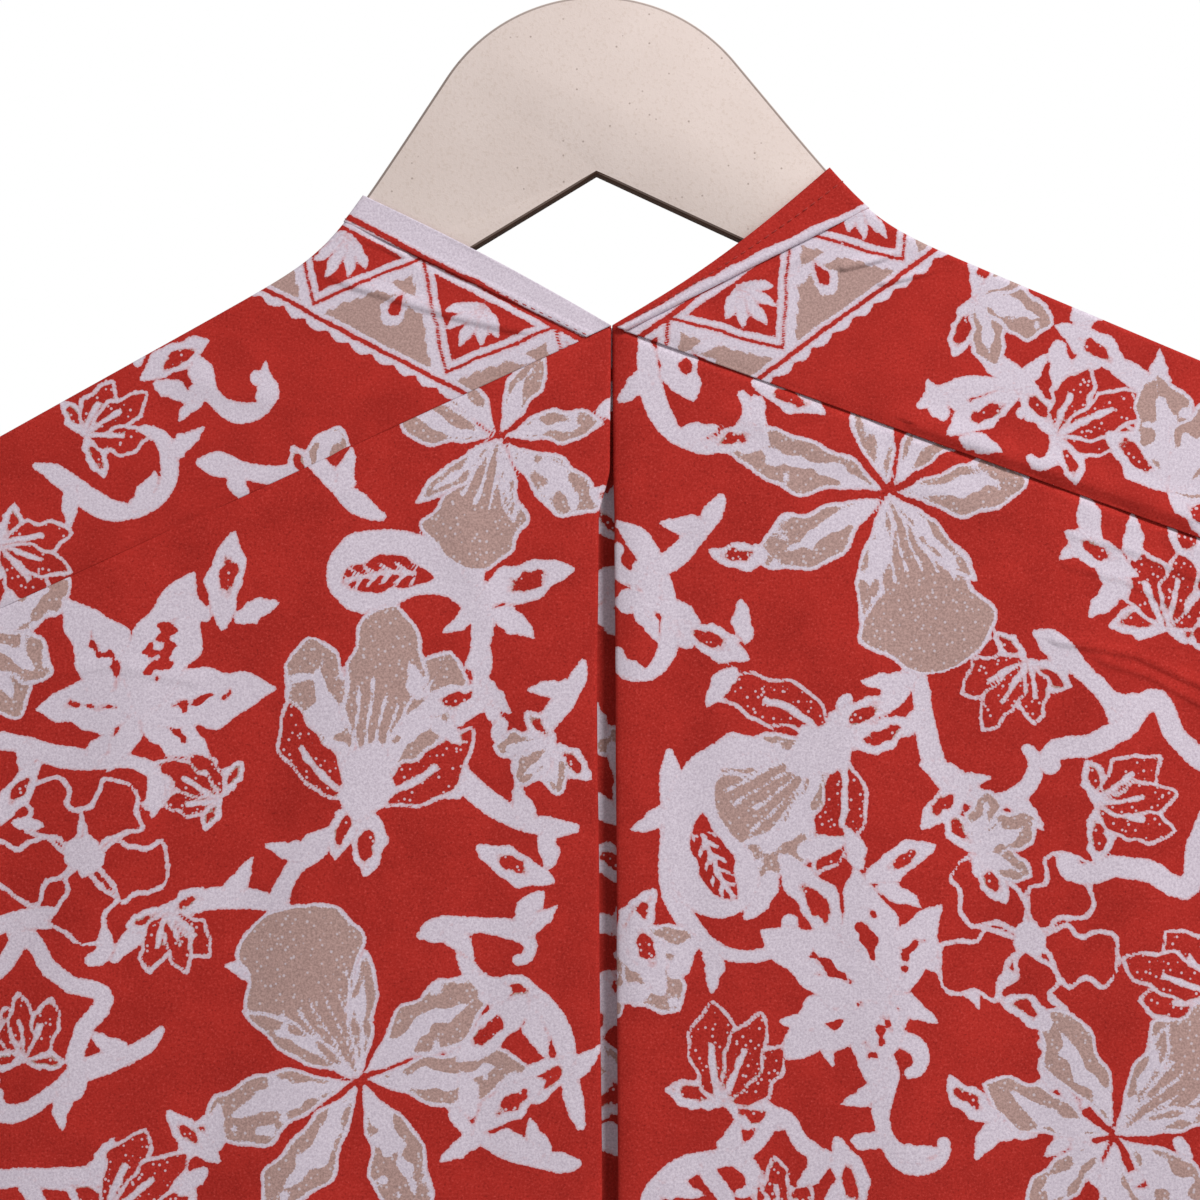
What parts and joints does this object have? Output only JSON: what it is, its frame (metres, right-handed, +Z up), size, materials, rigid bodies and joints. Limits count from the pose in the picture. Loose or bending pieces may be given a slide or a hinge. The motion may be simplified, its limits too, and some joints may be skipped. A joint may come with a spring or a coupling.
{
  "type": "batik kaftan dress on a wooden hanger",
  "caption": "Loose flared dress in red floral batik, with slanting shoulder yokes, V neck, short wide sleeves and an inverted back pleat, hung from a flat wooden hanger with a wire hook.",
  "frame": {"origin": "inside top of the hanger's wire hook, where the hanger hangs", "axes": "+Z up, the back of the dress faces -Y, +X to the right as the back is seen"},
  "size_m": [0.7101, 0.095, 1.2586],
  "materials": {
    "batik_cloth": "matte plain-weave cotton, wax-resist print in off-white and taupe on red",
    "neck_band_cloth": "the same printed cotton, folded and topstitched",
    "hanger_wood": "pale sanded fibreboard with a browned cut edge",
    "hook_steel": "plain bright wire"
  },
  "bodies": {
    "root": {"hanger_plate": "hanger_wood", "hanger_hook": "hook_steel", "neck_band_left": "neck_band_cloth", "neck_band_right": "neck_band_cloth", "yoke_left": "batik_cloth", "yoke_right": "batik_cloth", "back_left": "batik_cloth", "back_right": "batik_cloth", "back_pleat_underlay": "batik_cloth", "front": "batik_cloth", "sleeve_left": "batik_cloth", "sleeve_right": "batik_cloth"}
  },
  "joints": []
}
